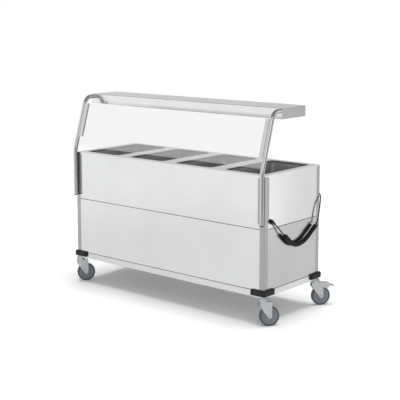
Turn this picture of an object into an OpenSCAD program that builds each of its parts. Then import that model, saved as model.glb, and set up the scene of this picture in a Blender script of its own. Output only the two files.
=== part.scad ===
// Heated serving trolley with four food wells, a glass guard and a lamp bridge on two bent tubes.
// Millimetres, +Z up. The origin is on the floor, below the middle of the chassis.
// +X runs along the counter to the end with the cord, and -Y is the guests' side.

/* [Chassis] */
// Length of the body
body_len = 1640; // [1600:5:1760]
// Depth of the body
body_depth = 600; // [590:5:680]
// Height of the counter above the floor
counter_h = 930; // [910:5:960]
// Width and height of the base frame's box tube
frame_tube = 40; // [36:1:50]
// Wall of the base frame's tube
frame_wall = 2; // [1.5:0.5:3]
// Width of a corner post's two flanges
post_side = 35; // [30:1:45]
// Thickness of a corner post's sheet
post_wall = 2; // [1.5:0.25:2.5]
// Radius of a corner post's outer edge
post_round = 3; // [2.5:0.5:5]
// Thickness of the panels, the deck and the counter
sheet = 1.5; // [1:0.25:2]
// Height of the level seam between the upper and the lower panels
seam_h = 600; // [570:5:620]
// Width of that seam, and of the one above the base frame
seam_gap = 2.5; // [2:0.5:4]
// Depth of the folds along the seams
fold_deep = 12; // [8:1:20]
// Gap between a panel and the flange of a post
side_gap = 0.6; // [0.4:0.1:0.9]
// Height of the counter's folded edge
counter_edge = 6; // [4:1:12]
// Height of the upturned rim of the tray below the wells
tray_rim = 20; // [10:1:25]

/* [Wells] */
// Distance between the middles of neighbouring wells
well_pitch = 413; // [395:1:425]
// How far the wells' middles lie behind the middle of the counter
well_back = 8; // [0:1:15]
// Length of a well's opening along the counter
rim_len = 306; // [290:1:315]
// Width of a well's opening across the counter
rim_wide = 508; // [490:1:515]
// Corner radius of the opening
rim_round = 30; // [20:1:45]
// Depth of the collar that is folded down round the opening
collar_deep = 14; // [8:1:20]
// Depth of a well below the counter
well_deep = 212; // [150:1:220]
// Thickness of a well's sheet
well_sheet = 1.2; // [0.8:0.1:1.5]
// Width of the flange that is welded under the counter
well_flange = 9; // [6:1:10]
// Thickness of the heating plates under the wells
heater_h = 8; // [5:1:12]
// Margin of a heating plate inside the well's floor
heater_margin = 35; // [20:1:60]

/* [Guard] */
// Diameter of the guard's bent tubes
arm_d = 28; // [25:1:34]
// Wall of the tubes
arm_wall = 2; // [1.5:0.5:3]
// Distance of a tube's middle from the end of the body
arm_inset = 9; // [4:1:14]
// Height of the tubes' lower ends above the seam
arm_up = 32; // [15:1:45]
// Thickness of the rim of the plugs in those ends
end_plug_rim = 6; // [2:0.5:8]
// Height of the first bend's corner above the counter
kink_up = 20; // [10:1:40]
// Lean of the tubes above the first bend, in degrees
lean = 17; // [14:0.5:20]
// Radius of the first bend
kink_r = 150; // [80:5:180]
// Radius of the second bend
bend_r = 60; // [50:1:75]
// Thickness of the angle bracket behind a tube
bracket_t = 2.5; // [2:0.5:4]
// Width of the bracket on the front
bracket_front = 52; // [45:1:60]
// Width of the bracket on the end of the body
bracket_end = 46; // [40:1:50]
// How far a bracket stops below the counter's folded edge
bracket_drop = 9; // [2:1:30]
// Thickness of the glass pane
glass_t = 6; // [4:0.5:8]
// Distance of the pane's lower edge from the first bend's corner, along the tube
glass_start = 26; // [24:1:40]
// Height of the pane along the tube
glass_h = 306; // [260:1:312]
// Height of the glass clamps, which end level with the pane
clamp_h = 236; // [150:1:250]
// Depth of a clamp along the counter
clamp_deep = 28; // [20:1:40]
// Thickness of a clamp's jaws and web
clamp_t = 3.5; // [2.5:0.5:5]
// Clearance of the pane in its clamps
glass_slack = 0.3; // [0.2:0.1:0.5]

/* [Lamp bridge] */
// Top of the bridge above the counter
bridge_rise = 398; // [385:1:430]
// Distance of the bridge's front face before the middle of the body
bridge_front = 134; // [120:1:140]
// Depth of the bridge
bridge_depth = 250; // [200:5:300]
// Height of the bridge
bridge_h = 68; // [60:1:90]
// Thickness of the bridge's sheet
bridge_t = 1.2; // [1:0.1:2]
// Radius of the bridge's long edges
bridge_round = 4; // [3:1:8]
// Thickness of the end caps
cap_t = 2; // [1.5:0.5:4]
// Width of the lips that carry the glass cover
lip = 22; // [15:1:30]
// Thickness of the glass cover
cover_t = 4; // [3:0.5:6]
// Length of a heat lamp
lamp_len = 300; // [200:5:340]
// Diameter of a heat lamp
lamp_d = 12; // [8:1:16]
// Side of a lamp's holder
lamp_holder = 24; // [18:1:30]
// Height of the lamps' middle above the glass cover
lamp_lift = 26; // [16:1:32]

/* [Bumpers] */
// Length of a bumper along each face
bumper_leg = 94; // [80:1:130]
// How far a bumper stands out
bumper_out = 17; // [14:1:26]
// Height of a bumper
bumper_h = 35; // [28:1:38]
// Height of its underside above the base frame's underside
bumper_up = 11; // [4:1:14]
// Radius of a bumper's free ends
bumper_round = 8; // [4:1:10]
// Bevel along a bumper's outer edges
bumper_bevel = 4; // [1:0.5:6]

/* [Casters] */
// Diameter of the wheels
wheel_d = 125; // [115:1:130]
// Width of the tyres
tyre_w = 30; // [24:1:32]
// Thickness of a tyre's rubber
tyre_t = 13; // [10:1:16]
// Height of the fork's head and the mounting flange above the wheel
swivel_h = 51; // [49:1:60]
// Distance of a swivel axis from the faces of the body
caster_inset = 14; // [14:1:24]
// Distance of an axle behind the swivel axis
trail = 37; // [32:1:42]
// Direction in which the wheels trail at rest, in degrees from +X towards +Y
caster_turn = 52; // [0:1:90]
// Radius of the mounting flange and the swivel head
head_r = 28; // [25:1:30]
// Radius of the king pin
king_r = 6; // [5:0.5:8]
// Thickness of the fork's sheet
fork_t = 2.5; // [2:0.5:3.5]
// Side play of the wheel between the fork's legs
wheel_play = 1; // [0.5:0.25:2]
// Radius of a leg's lower end
leg_tip_r = 14; // [11:1:16]
// Radius of the axle bolt
axle_r = 4; // [4:0.5:6]
// Running clearance of axle, king pin and pedal pin
run_gap = 0.06; // [0.03:0.01:0.09]
// Radius of the stud that holds a caster in the frame
stud_r = 10; // [8:0.5:10.5]
// Radius of a brake pedal's hinge pin
pedal_pin_r = 3; // [2.5:0.5:4]
// Reach of a brake pedal from the swivel axis
pedal_reach = 131; // [126:1:140]

/* [Controls] */
// Height of the knobs above the seam
knob_up = 55; // [52:1:80]
// Radius of a knob's skirt
knob_r = 24; // [20:1:28]
// Height of a knob
knob_tall = 22; // [16:1:28]
// Radius of a knob's shaft
shaft_r = 3; // [2.5:0.5:4]
// Distance of a pilot lamp from its knob
pilot_step = 48; // [36:1:60]
// Radius of a pilot lamp's lens
pilot_r = 6; // [4:1:8]
// Distance of the bridge's switch from the end of the body
switch_x = 85; // [75:1:95]
// Width of the rocker
rocker_w = 22; // [18:1:26]
// Length of the rocker
rocker_len = 31; // [28:1:34]
// Tilt of the rocker to each side, in degrees
rocker_tilt = 8; // [5:1:10]

/* [Cord] */
// Diameter of the cord
cord_d = 8; // [7:0.5:8]
// Outer diameter of the curly part
curl_d = 30; // [28:1:31]
// Number of its full curls
curls = 41; // [36:1:42]
// Radius of the outlet's body
gland_r = 11; // [9:1:12]
// Radius of the plug's body
plug_r = 22; // [20:1:24]
// Distance of the parked plug from the end of the body
plug_in = 98; // [90:1:110]

/* [Hidden] */
$fn = 48;
eps = 0.01;

half_len = body_len / 2;
half_depth = body_depth / 2;
frame_low = wheel_d + swivel_h;
frame_high = frame_low + frame_tube;
panel_top = counter_h - counter_edge;
// Level edges of the lower and the upper panels
lower_z = [frame_high + seam_gap, seam_h - seam_gap / 2];
upper_z = [seam_h + seam_gap / 2, panel_top];
// Sheets that stand inside the body keep this far from its posts and panels
seat_gap = 0.3;
inner_x = half_len - post_wall - seat_gap;
inner_y = half_depth - post_wall - seat_gap;
well_xs = [for (k = [0:3]) (k - 1.5) * well_pitch];
knob_h = seam_h + knob_up;
bridge_top = counter_h + bridge_rise;

steel = [0.80, 0.81, 0.82];
steel_dark = [0.66, 0.67, 0.68];
zinc = [0.76, 0.79, 0.82];
black = [0.13, 0.13, 0.14];
glass = [0.85, 0.92, 0.93, 0.35];
rubber = [0.36, 0.38, 0.40];
core_grey = [0.54, 0.57, 0.60];

// A rectangle centred on the origin, with round corners
module round_rect(x, y, r) {
    square([x, y - 2 * r], center = true);
    square([x - 2 * r, y], center = true);
    for (i = [-1, 1]) {
        for (j = [-1, 1]) {
            translate([i * (x / 2 - r), j * (y / 2 - r)]) circle(r = r);
        }
    }
}

// A box between two corners
module block(low, high) {
    translate(low) cube(high - low);
}

// Counter and wells

well_floor = counter_h - well_deep;
// A well's wall stands this far outside the collar, which leads spills into the well
collar_gap = 0.3;
well_side = sheet + collar_gap;

// The outline of an opening, set out by a distance
module well_outline(out) {
    round_rect(rim_len + 2 * out, rim_wide + 2 * out, rim_round + out);
}

// One folded sheet with a skirt along its edge, and a collar round each opening
module counter_top() {
    color(steel) difference() {
        union() {
            difference() {
                block([-half_len, -half_depth, panel_top], [half_len, half_depth, counter_h]);
                block([sheet - half_len, sheet - half_depth, panel_top - 1],
                      [half_len - sheet, half_depth - sheet, counter_h - sheet]);
            }
            for (x = well_xs) {
                translate([x, well_back, counter_h - collar_deep]) linear_extrude(collar_deep - sheet / 2)
                    well_outline(sheet);
            }
        }
        for (x = well_xs) {
            translate([x, well_back, counter_h - collar_deep - 1]) linear_extrude(collar_deep + 2)
                well_outline(0);
        }
    }
}

// One deep-drawn well, which hangs by its flange below the counter
module well(k) {
    flange_low = counter_h - sheet - well_sheet;
    pan_low = well_floor - well_sheet;
    color(steel_dark) translate([well_xs[k], well_back, 0]) difference() {
        union() {
            translate([0, 0, flange_low]) linear_extrude(well_sheet)
                well_outline(well_side + well_sheet + well_flange);
            translate([0, 0, pan_low]) linear_extrude(flange_low - pan_low + well_sheet / 2)
                well_outline(well_side + well_sheet);
        }
        translate([0, 0, well_floor]) linear_extrude(well_deep) well_outline(well_side);
    }
}

module well_heaters() {
    for (x = well_xs) {
        color(black) translate([x, well_back, well_floor - well_sheet - heater_h]) linear_extrude(heater_h)
            round_rect(rim_len - 2 * heater_margin, rim_wide - 2 * heater_margin, rim_round);
    }
}

// Panels, posts and frame

panel_half_x = half_len - post_side - side_gap;
panel_half_y = half_depth - post_side - side_gap;

// A sheet with its face on Y = 0 and its depth towards +Y, folded inwards at the given levels
module folded_sheet(half, z, folds) {
    block([-half, 0, z[0]], [half, sheet, z[1]]);
    for (low = folds) {
        block([-half, 0, low], [half, fold_deep, low + sheet]);
    }
}

// Both rows of panels are folded inwards at the seam
upper_folds = [upper_z[0]];
lower_folds = [lower_z[1] - sheet];

module front_panel(z, folds) {
    color(steel) translate([0, -half_depth, 0]) folded_sheet(panel_half_x, z, folds);
}

module end_panel(side, z, folds) {
    color(steel) translate([side * half_len, 0, 0]) rotate([0, 0, 90 * side])
        folded_sheet(panel_half_y, z, folds);
}

// Flanges towards the body's long and short faces, drawn for the corner at +X +Y
module post_section() {
    difference() {
        union() {
            translate([-post_side, -post_round]) square([post_side - post_round, post_round]);
            translate([-post_round, -post_side]) square([post_round, post_side - post_round]);
            translate([-post_round, -post_round]) circle(r = post_round);
        }
        translate([-post_side - 1, -post_side - 1]) square(post_side + 1 - post_wall);
    }
}

module corner_posts() {
    for (i = [-1, 1]) {
        for (j = [-1, 1]) {
            color(steel_dark) translate([i * half_len, j * half_depth, frame_high])
                mirror([i < 0 ? 1 : 0, 0, 0]) mirror([0, j < 0 ? 1 : 0, 0])
                linear_extrude(panel_top - frame_high) post_section();
        }
    }
}

stud_x = half_len - caster_inset;
stud_y = half_depth - caster_inset;
stud_gap = 0.05;

module base_frame() {
    hollow_x = half_len - frame_wall;
    hollow_y = half_depth - frame_wall;
    inside_x = half_len - frame_tube;
    inside_y = half_depth - frame_tube;
    color(steel) difference() {
        block([-half_len, -half_depth, frame_low], [half_len, half_depth, frame_high]);
        block([-inside_x, -inside_y, frame_low - 1], [inside_x, inside_y, frame_high + 1]);
        difference() {
            block([-hollow_x, -hollow_y, frame_low + frame_wall],
                  [hollow_x, hollow_y, frame_high - frame_wall]);
            block([-inside_x - frame_wall, -inside_y - frame_wall, frame_low],
                  [inside_x + frame_wall, inside_y + frame_wall, frame_high]);
        }
        for (i = [-1, 1]) {
            for (j = [-1, 1]) {
                translate([i * stud_x, j * stud_y, frame_low - 1])
                    cylinder(h = frame_wall + 2, r = stud_r + stud_gap);
            }
        }
    }
}

module base_deck() {
    color(steel) block([-inner_x, -inner_y, frame_high], [inner_x, inner_y, frame_high + sheet]);
}

// Lies on the folds of the upper panels
module heater_tray() {
    tray_low = upper_z[0] + sheet;
    color(steel_dark) difference() {
        block([-inner_x, -inner_y, tray_low], [inner_x, inner_y, tray_low + tray_rim]);
        block([sheet - inner_x, sheet - inner_y, tray_low + sheet],
              [inner_x - sheet, inner_y - sheet, tray_low + tray_rim + 1]);
    }
}

// Section of a bumper, from the body's face outwards, with a bevel along its outer edges
module bumper_section() {
    bevel_out = bumper_out - bumper_bevel;
    polygon([
        [0, 0], [bevel_out, 0], [bumper_out, bumper_bevel], [bumper_out, bumper_h - bumper_bevel],
        [bevel_out, bumper_h], [0, bumper_h]
    ]);
}

// The half of a bumper that lies on the face at +Y, rounded at its free end
module bumper_half() {
    intersection() {
        rotate([90, 0, -90]) mirror([1, 0, 0]) linear_extrude(bumper_leg) bumper_section();
        linear_extrude(bumper_h) {
            translate([bumper_round - bumper_leg, -1]) square([bumper_leg, bumper_out + 2]);
            translate([-bumper_leg, -1]) square([bumper_leg, bumper_out + 1 - bumper_round]);
            translate([bumper_round - bumper_leg, bumper_out - bumper_round]) circle(r = bumper_round);
        }
    }
}

// A corner bumper, drawn for the corner at +X +Y
module bumper(i, j) {
    color(black) translate([i * half_len, j * half_depth, frame_low + bumper_up])
        mirror([i < 0 ? 1 : 0, 0, 0]) mirror([0, j < 0 ? 1 : 0, 0]) {
        bumper_half();
        rotate_extrude(angle = 90) bumper_section();
        mirror([1, -1, 0]) bumper_half();
    }
}

// Guard: tubes, brackets, pane and clamps

arm_x = half_len - arm_inset;
arm_y = -(half_depth + bracket_t + arm_d / 2 + seat_gap);
arm_low = seam_h + arm_up;
kink_h = counter_h + kink_up;
// The tubes run into the bridge's front face, just below its rounded edge
arm_high = bridge_top - bridge_round - arm_d / 2;
// Distance from the first bend's corner to the second one's, along the leaning stretch
lean_len = (arm_high - kink_h) / cos(lean);
kink_cut = kink_r * tan(lean / 2);
bend_cut = bend_r * tan((90 - lean) / 2);
top_y = arm_y + (arm_high - kink_h) * tan(lean);

// Places children on the leaning stretch, with Z along the tube from the first bend's corner
module on_arm() {
    translate([0, arm_y, kink_h]) rotate([-lean, 0, 0]) children();
}

// The tube's whole path as one solid of radius r, drawn in the plane X = 0. The bends are a trace thicker
// than the straight stretches
module arm_path(r, over) {
    lap = 0.5;
    bend_full = 0.04;
    translate([0, arm_y, arm_low - over]) cylinder(h = kink_h - kink_cut - arm_low + over + lap, r = r);
    translate([0, arm_y + kink_r, kink_h - kink_cut]) rotate([90, 0, -90])
        rotate_extrude(angle = lean) translate([kink_r, 0]) circle(r = r + bend_full);
    on_arm() translate([0, 0, kink_cut - lap]) cylinder(h = lean_len - kink_cut - bend_cut + 2 * lap, r = r);
    translate([0, top_y + bend_cut, arm_high - bend_r]) rotate([90, 0, -90]) rotate([0, 0, lean])
        rotate_extrude(angle = 90 - lean) translate([bend_r, 0]) circle(r = r + bend_full);
    translate([0, top_y + bend_cut - lap, arm_high]) rotate([-90, 0, 0])
        cylinder(h = -bridge_front - top_y - bend_cut + lap + over, r = r);
}

module guard_arm(side) {
    color(steel) translate([side * arm_x, 0, 0]) difference() {
        arm_path(arm_d / 2, 0);
        arm_path(arm_d / 2 - arm_wall, 1);
    }
}

// Plastic plugs that close the tubes' lower ends
module tube_end_plugs() {
    neck = 18;
    neck_r = arm_d / 2 - arm_wall - 0.1;
    for (side = [-1, 1]) {
        color(black) translate([side * arm_x, arm_y, arm_low]) {
            translate([0, 0, -end_plug_rim]) cylinder(h = end_plug_rim, r = arm_d / 2);
            translate([0, 0, -1]) cylinder(h = neck + 1, r = neck_r);
        }
    }
}

module arm_brackets() {
    for (side = [-1, 1]) {
        color(steel_dark) mirror([side < 0 ? 1 : 0, 0, 0]) translate([half_len, -half_depth, arm_low])
            difference() {
            block([bracket_t - bracket_front, -bracket_t, 0],
                  [bracket_t, bracket_end - bracket_t, panel_top - bracket_drop - arm_low]);
            block([-bracket_front, 0, -1], [0, bracket_end, panel_top]);
        }
    }
}

clamp_x = arm_x - arm_d / 2 - seat_gap;
glass_top = glass_start + glass_h;

module guard_glass() {
    half = clamp_x - clamp_t - glass_slack;
    color(glass) on_arm() block([-half, -glass_t / 2, glass_start], [half, glass_t / 2, glass_top]);
}

module glass_clamps() {
    slot = glass_t / 2 + glass_slack;
    mouth_x = clamp_x - clamp_deep;
    low = glass_top - clamp_h;
    for (side = [-1, 1]) {
        color(steel) mirror([side < 0 ? 1 : 0, 0, 0]) on_arm() difference() {
            block([mouth_x, -slot - clamp_t, low], [clamp_x, slot + clamp_t, glass_top]);
            block([mouth_x - 1, -slot, low - 1], [clamp_x - clamp_t, slot, glass_top + 1]);
        }
    }
}

// Lamp bridge

bridge_half = arm_x + arm_d / 2;
bridge_low = bridge_top - bridge_h;
bridge_y = bridge_depth / 2 - bridge_front;
lamp_z = bridge_low + bridge_t + cover_t + lamp_lift;

// Extrudes a section drawn in Y and Z about the bridge's middle line
module along_bridge(half) {
    translate([-half, bridge_y, bridge_low + bridge_h / 2]) rotate([90, 0, 90])
        linear_extrude(2 * half) children();
}

module bridge_shell() {
    color(steel) along_bridge(bridge_half - cap_t) difference() {
        round_rect(bridge_depth, bridge_h, bridge_round);
        round_rect(bridge_depth - 2 * bridge_t, bridge_h - 2 * bridge_t, bridge_round - bridge_t);
        translate([lip - bridge_depth / 2, -bridge_h]) square([bridge_depth - 2 * lip, bridge_h]);
    }
}

module bridge_end_caps() {
    for (side = [-1, 1]) {
        color(steel) translate([side * (bridge_half - cap_t / 2), 0, 0]) along_bridge(cap_t / 2)
            round_rect(bridge_depth, bridge_h, bridge_round);
    }
}

module lamp_cover() {
    half_x = bridge_half - cap_t - glass_slack;
    half_y = bridge_depth / 2 - bridge_round;
    low = bridge_low + bridge_t;
    color(glass) translate([0, bridge_y, low]) block([-half_x, -half_y, 0], [half_x, half_y, cover_t]);
}

// Each lamp is a quartz tube between two holders that hang from the shell
module heat_lamps() {
    half = lamp_holder / 2;
    holder_high = bridge_top - bridge_t - lamp_z;
    for (x = well_xs) {
        color("ivory") translate([x, bridge_y, lamp_z]) {
            translate([-lamp_len / 2, 0, 0]) rotate([0, 90, 0]) cylinder(h = lamp_len, r = lamp_d / 2);
            for (side = [-1, 1]) {
                translate([side * lamp_len / 2, 0, 0])
                    block([-half, -half, -half], [half, half, holder_high]);
            }
        }
    }
}

// Control panel and what is on it

shaft_hole_r = shaft_r + 2;
shaft_in = 22;
thermostat_side = 44;
thermostat_deep = 34;
thermostat_y = half_depth - sheet - seat_gap;
pilot_stem_r = pilot_r - 2;
pilot_slack = 0.1;
window_x = rocker_w + 1;
window_z = rocker_len + 2.2;
tub_wall = 2;
tub_x = window_x + 2 * tub_wall;
tub_z = window_z + 2 * tub_wall;
tub_deep = 24;
switch_at = switch_x - half_len;
tub_slack = 0.2;
bezel_rim = 5;
bezel_out = 2.5;
pivot_in = 3;
pivot_r = 2;

// Turns Z outwards through the rear panel, at a height on its face
module on_rear(x, z) {
    translate([x, half_depth, z]) rotate([-90, 0, 0]) children();
}

module control_panel() {
    color(steel) difference() {
        translate([0, half_depth, 0]) rotate([0, 0, 180]) folded_sheet(panel_half_x, upper_z, upper_folds);
        for (x = well_xs) {
            on_rear(x, knob_h) translate([0, 0, -sheet - 1]) cylinder(h = sheet + 2, r = shaft_hole_r);
            on_rear(x + pilot_step, knob_h) translate([0, 0, -sheet - 1])
                cylinder(h = sheet + 2, r = pilot_stem_r + pilot_slack);
        }
        on_rear(switch_at, knob_h)
            cube([tub_x + 2 * tub_slack, tub_z + 2 * tub_slack, 3 * sheet], center = true);
        on_rear(holder_x, plug_z) translate([0, 0, -sheet - 1])
            cylinder(h = sheet + 2, r = plug_r + tub_slack);
    }
}

module thermostats() {
    for (x = well_xs) {
        color(black) difference() {
            translate([x - thermostat_side / 2, thermostat_y - thermostat_deep, knob_h - thermostat_side / 2])
                cube([thermostat_side, thermostat_deep, thermostat_side]);
            on_rear(x, knob_h) translate([0, 0, -shaft_in - 1])
                cylinder(h = shaft_in + 1, r = shaft_r + run_gap);
        }
    }
}

// A skirted knob with a straight grip, on its shaft
module knob(k) {
    base = 1;
    skirt = 4;
    grip_base = 8;
    grip_half = 7;
    body_r = knob_r - 4;
    color(black) on_rear(well_xs[k], knob_h) {
        difference() {
            rotate_extrude() polygon([
                [0, base], [knob_r, base], [knob_r, base + 2], [knob_r - 2, skirt + base],
                [body_r, skirt + base], [body_r - 2, knob_tall - 2], [body_r - 4, knob_tall], [0, knob_tall]
            ]);
            for (side = [-1, 1]) {
                translate([side * (grip_half + knob_r) - knob_r, -knob_r, grip_base])
                    cube([2 * knob_r, 2 * knob_r, knob_tall]);
            }
        }
        translate([0, 0, -shaft_in]) cylinder(h = shaft_in + base + 1, r = shaft_r);
    }
}

module pilot_lamps() {
    stem = 14;
    dome = 4;
    for (x = well_xs) {
        color("orange") on_rear(x + pilot_step, knob_h) rotate_extrude() polygon([
            [0, -stem], [pilot_stem_r, -stem], [pilot_stem_r, 0], [pilot_r, 0], [pilot_r, dome - 2.5],
            [pilot_r - 1.5, dome - 0.8], [0, dome]
        ]);
    }
}

module switch_bezel() {
    color(black) on_rear(switch_at, knob_h) difference() {
        union() {
            block([-window_x / 2 - bezel_rim, -window_z / 2 - bezel_rim, 0],
                  [window_x / 2 + bezel_rim, window_z / 2 + bezel_rim, bezel_out]);
            block([-tub_x / 2, -tub_z / 2, -tub_deep], [tub_x / 2, tub_z / 2, 1]);
        }
        block([-window_x / 2, -window_z / 2, tub_wall - tub_deep],
              [window_x / 2, window_z / 2, bezel_out + 1]);
        translate([-window_x, 0, -pivot_in]) rotate([0, 90, 0])
            cylinder(h = 2 * window_x, r = pivot_r + run_gap);
    }
}

module lamp_switch() {
    half = rocker_len / 2;
    stub = window_x / 2 + tub_wall - 0.4;
    color(black) on_rear(switch_at, knob_h) translate([0, 0, -pivot_in]) rotate([rocker_tilt, 0, 0]) {
        translate([-rocker_w / 2, 0, 0]) rotate([90, 0, 90]) linear_extrude(rocker_w)
            polygon([[-half, -3], [half, -3], [half, 6.5], [0, 4], [-half, 6.5]]);
        translate([-stub, 0, 0]) rotate([0, 90, 0]) cylinder(h = 2 * stub, r = pivot_r);
    }
}

// Cord: outlet, straight stretches, curly part, plug and the blind holder that parks it

// Points of the route, measured from the body's edge at +X +Y and from the seam
cord_corner = [half_len, half_depth, 0];
function above_seam(points) = [for (p = points) p + [0, 0, seam_h]];
gland_at = [13, -536, seam_h + 44];
boot_dir = [0, 0.8, -0.6];
boot_len = 35;
lead_points = above_seam([
    [13, -508, 23], [13, -500, 17], [14, -488, 7], [15, -476, -4], [17, -465, -16], [19, -454, -28],
    [21, -445, -38], [22, -437, -46]
]);
// The curly part hangs in a bow, made of straights [length, 0] and of arcs [degrees, radius]
bow_heading = -39;
bow = [[101, 0], [39, 134], [32, 214], [105, 0], [43, 45], [8, 0]];
bow_x = lead_points[7][0];
tail_points = above_seam([
    [22, -48, -9], [22, -43, 8], [22, -38, 26], [21, -33, 44], [20, -27, 62], [18, -21, 80],
    [15, -13, 97], [11, -5, 112], [5, 3, 124], [-3, 10, 133], [-14, 15, 141], [-26, 18, 147],
    [-38, 19, 150], [-48, 19, 150]
]);
cord_r = cord_d / 2;
curl_r = curl_d / 2 - cord_r;
straight_in = 8;
ramp_in = 22;
ramp_out = 34;
curl_rings = 8;

function unit(v) = v / norm(v);

function piece_len(piece) = piece[1] == 0 ? piece[0] : piece[1] * piece[0] * PI / 180;

// Moves a state [y, z, heading] on by s along one piece of the bow
function advance(at, piece, s) =
    let (turned = piece[1] == 0 ? 0 : s / piece[1] * 180 / PI)
    piece[1] == 0
        ? [at[0] + s * cos(at[2]), at[1] + s * sin(at[2]), at[2]]
        : [at[0] + piece[1] * (sin(at[2] + turned) - sin(at[2])),
           at[1] + piece[1] * (cos(at[2]) - cos(at[2] + turned)), at[2] + turned];

bow_start = [lead_points[7][1], lead_points[7][2], bow_heading];

function bow_at(s, k = 0, at = bow_start) =
    let (piece = piece_len(bow[k]))
    s <= piece || k == len(bow) - 1
        ? advance(at, bow[k], s)
        : bow_at(s - piece, k + 1, advance(at, bow[k], piece));

function bow_total(k = 0) = k == len(bow) ? 0 : piece_len(bow[k]) + bow_total(k + 1);

bow_len = bow_total();
coil_from = straight_in + ramp_in;
coil_to = bow_len - straight_in - ramp_out;
curl_pitch = (coil_to - coil_from) / curls;

function eased(u) = u <= 0 ? 0 : u >= 1 ? 1 : u * u * (3 - 2 * u);

// Distance of the wire from the bow's middle line, and its turns so far, at a distance s along the bow
function wire_off(s) =
    curl_r * min(eased((s - straight_in) / ramp_in), eased((bow_len - straight_in - s) / ramp_out));
function wire_turns(s) =
    s < coil_from ? max(0, s - straight_in) / ramp_in
    : s < coil_to ? 1 + (s - coil_from) / curl_pitch
    : 1 + curls + min(1, (s - coil_to) / ramp_out);

// Direction from the middle line to the wire
function wire_side(s) =
    let (at = bow_at(s), turn = 360 * wire_turns(s))
    [cos(turn), -sin(turn) * sin(at[2]), sin(turn) * cos(at[2])];
function wire_at(s) = let (at = bow_at(s)) [bow_x, at[0], at[1]] + wire_off(s) * wire_side(s);

ring_steps = concat(
    [0], [for (k = [0:curl_rings]) straight_in + ramp_in * k / curl_rings],
    [for (k = [1:curls * curl_rings]) coil_from + curl_pitch * k / curl_rings],
    [for (k = [1:curl_rings]) coil_to + ramp_out * k / curl_rings], [bow_len]
);
wire_points = [for (s = ring_steps) wire_at(s)];
wire_sides = [for (s = ring_steps) wire_side(s)];
least_gap = min([
    for (i = [0:len(wire_points) - 1], j = [i + 5:min(i + 11, len(wire_points) - 1)])
    if (i + 5 < len(wire_points)) norm(wire_points[i] - wire_points[j])
]) - cord_d;
echo(least_gap_of_the_curls = least_gap);

bow_end = bow_at(bow_len);
tail_route = concat([[bow_x, bow_end[0], bow_end[1]]], tail_points);

// A closed tube through points, with rings of n sides set out from the given side directions
module tube(points, sides, r, n) {
    last = len(points) - 1;
    rings = [
        for (i = [0:last])
        let (t = unit(points[min(i + 1, last)] - points[max(i - 1, 0)]))
        let (b = unit(cross(t, sides[i])), m = cross(b, t))
        for (k = [0:n - 1]) points[i] + r * (cos(360 * k / n) * m + sin(360 * k / n) * b)
    ];
    walls = [
        for (i = [0:last - 1], k = [0:n - 1])
        let (a = i * n + k, c = i * n + (k + 1) % n)
        each [[a, a + n, c], [c, a + n, c + n]]
    ];
    near = [for (k = [1:n - 2]) [0, k, k + 1]];
    far = [for (k = [1:n - 2]) [last * n, last * n + k + 1, last * n + k]];
    polyhedron(rings, concat(walls, near, far));
}

module cord_leads() {
    lead_side = [1, 1, 0];
    for (route = [lead_points, tail_route]) {
        color(black) translate(cord_corner) tube(route, [for (p = route) lead_side], cord_r, 10);
    }
}

module cord_coil() {
    color(black) translate(cord_corner) tube(wire_points, wire_sides, cord_r, 6);
}

boot_r = [8, 5.5];
gland_thread_r = 8;
gland_flange_t = 4;
gland_in = 12;

module right_panel_upper() {
    difference() {
        end_panel(1, upper_z, upper_folds);
        translate(cord_corner + [-sheet - 1, gland_at[1], gland_at[2]]) rotate([0, 90, 0])
            cylinder(h = sheet + 2, r = gland_thread_r + pilot_slack);
    }
}

module cord_gland() {
    color(black) translate(cord_corner + gland_at) {
        translate([-gland_at[0], 0, 0]) rotate([0, 90, 0]) {
            cylinder(h = gland_flange_t, r = gland_r + 4);
            cylinder(h = gland_at[0], r = gland_r);
            translate([0, 0, -gland_in]) cylinder(h = gland_in + 1, r = gland_thread_r);
        }
        sphere(r = gland_r);
        rotate([-atan2(boot_dir[1], boot_dir[2]), 0, 0])
            cylinder(h = boot_len, r1 = boot_r[0], r2 = boot_r[1]);
    }
}

// The plug is parked where the tail ends
boot_y = tail_points[13][1];
plug_z = tail_points[13][2];
holder_x = half_len - plug_in;
plug_out = 34;
cup_slack = 0.3;
cup_deep = 34;
nose_r = plug_r - 2.4;
nose_in = 16.5;
pin_x = 9.5;
pin_r = 2.4;
pin_len = 14;

module plug() {
    boot_end = half_len + tail_points[13][0];
    face = 3.5;
    color(black) {
        on_rear(holder_x, plug_z) {
            rotate_extrude() polygon([
                [0, -nose_in], [nose_r, -nose_in], [nose_r, face], [plug_r, face], [plug_r, plug_out - 5],
                [plug_r - 5, plug_out], [0, plug_out]
            ]);
            for (side = [-1, 1]) {
                translate([side * pin_x, 0, -nose_in - pin_len]) cylinder(h = pin_len + 1, r = pin_r);
            }
        }
        translate([boot_end, half_depth + boot_y, plug_z]) rotate([0, -90, 0])
            cylinder(h = boot_end - holder_x - plug_r + 4, r1 = boot_r[1], r2 = boot_r[0] + 1);
    }
}

module plug_holder() {
    color(black) on_rear(holder_x, plug_z) difference() {
        union() {
            cylinder(h = 3, r = plug_r + 8);
            translate([0, 0, -cup_deep]) cylinder(h = cup_deep + 1, r = plug_r);
        }
        translate([0, 0, -nose_in - cup_slack]) cylinder(h = nose_in + 10, r = nose_r + cup_slack);
        for (side = [-1, 1]) {
            translate([side * pin_x, 0, -nose_in - pin_len - cup_slack])
                cylinder(h = pin_len + 2, r = pin_r + cup_slack);
        }
    }
}

// Casters: each is drawn about its swivel axis, with X in the direction in which the wheel trails

wheel_r = wheel_d / 2;
flange_t = 4;
race_t = 6;
head_gap = 0.3;
race_low = frame_low - flange_t - race_t;
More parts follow.
